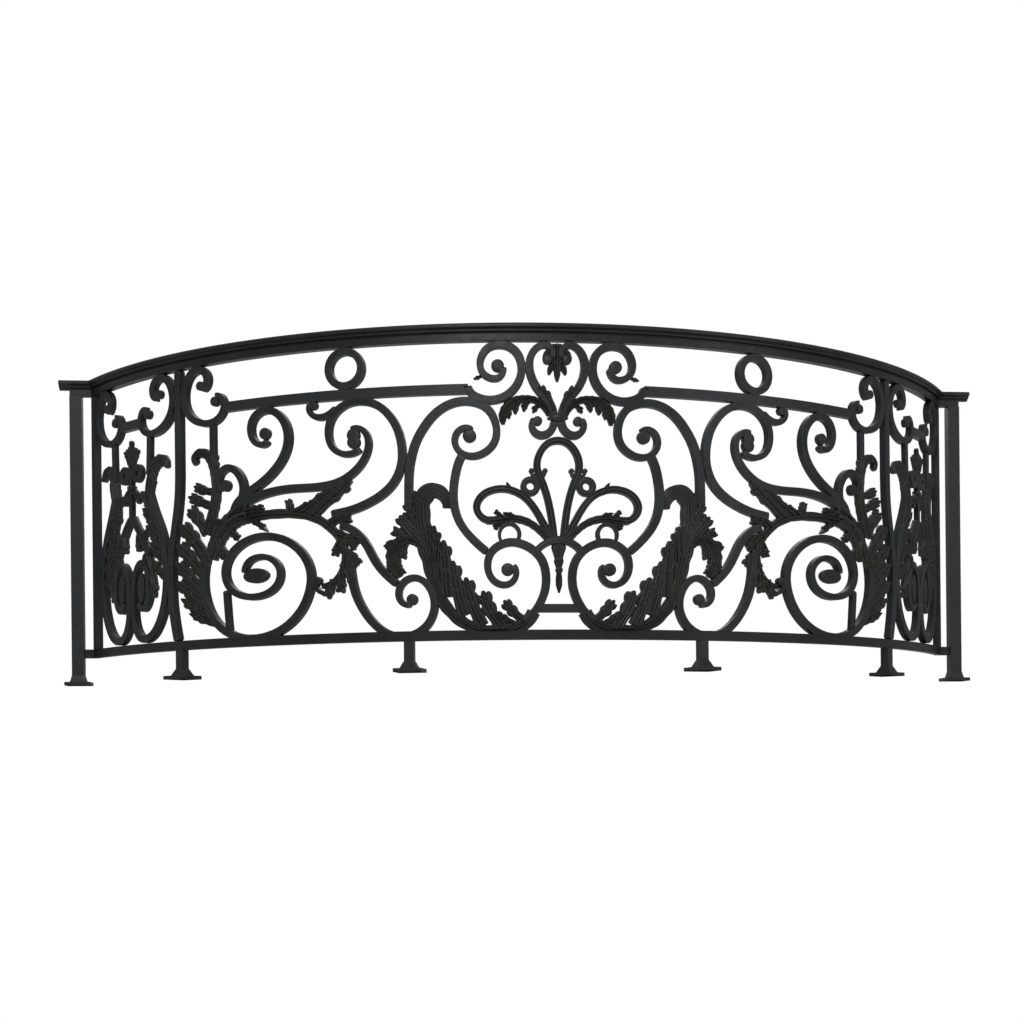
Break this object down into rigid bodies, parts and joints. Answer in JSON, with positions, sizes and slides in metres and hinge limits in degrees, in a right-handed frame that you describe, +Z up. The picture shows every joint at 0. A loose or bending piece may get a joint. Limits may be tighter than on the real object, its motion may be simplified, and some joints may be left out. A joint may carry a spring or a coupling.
{
  "type": "curved balcony railing",
  "caption": "Bowed wrought iron balcony railing with mirrored scrolls, cast acanthus leaves and a central palmette, standing on square foot plates under a moulded handrail",
  "frame": {"origin": "on the floor, midway across the width and midway between the front of the handrail and the back of the end feet", "axes": "+X to the viewer's right along the width, +Y back toward the wall, +Z up"},
  "size_m": [3.2994, 0.9729, 1.07],
  "materials": {
    "rail_paint": "satin near-black paint over smooth rolled iron",
    "bar_paint": "satin blue-black paint over hammered square bar",
    "cast_paint": "black paint with a dull brown-green cast over leafwork"
  },
  "bodies": {
    "root": {"handrail_cap": "rail_paint", "top_rail": "rail_paint", "bottom_rail": "rail_paint", "end_posts": "rail_paint", "feet": "rail_paint", "foot_stubs": "rail_paint", "outer_posts": "bar_paint", "corner_bars": "bar_paint", "heart_scrolls": "bar_paint", "upper_volutes": "bar_paint", "collar_scrolls": "bar_paint", "palmette_scrolls": "bar_paint", "bridge_arc": "bar_paint", "tie_bar": "bar_paint", "palmette_arch": "bar_paint", "palmette_rings": "bar_paint", "palmette_loops": "bar_paint", "palmette_curls": "bar_paint", "c_scrolls": "bar_paint", "link_bars": "bar_paint", "small_scrolls": "bar_paint", "rising_links": "bar_paint", "outer_scrolls": "bar_paint", "tendrils": "bar_paint", "main_stems": "bar_paint", "big_spirals": "bar_paint", "top_side_scrolls": "bar_paint", "small_side_scrolls": "bar_paint", "middle_rails": "bar_paint", "rings": "bar_paint", "upright_bars": "bar_paint", "post_c_scrolls": "bar_paint", "side_middle_rails": "bar_paint", "side_spirals": "bar_paint", "heart_collar": "cast_paint", "drop_leaf": "cast_paint", "swept_leaves": "cast_paint", "husk_drop": "cast_paint", "bottom_acanthus": "cast_paint", "leaf_sheaths": "cast_paint", "branch_acanthus": "cast_paint", "leaf_columns": "cast_paint", "side_leaves": "cast_paint", "side_branches": "cast_paint", "side_flowers": "cast_paint"}
  },
  "joints": []
}
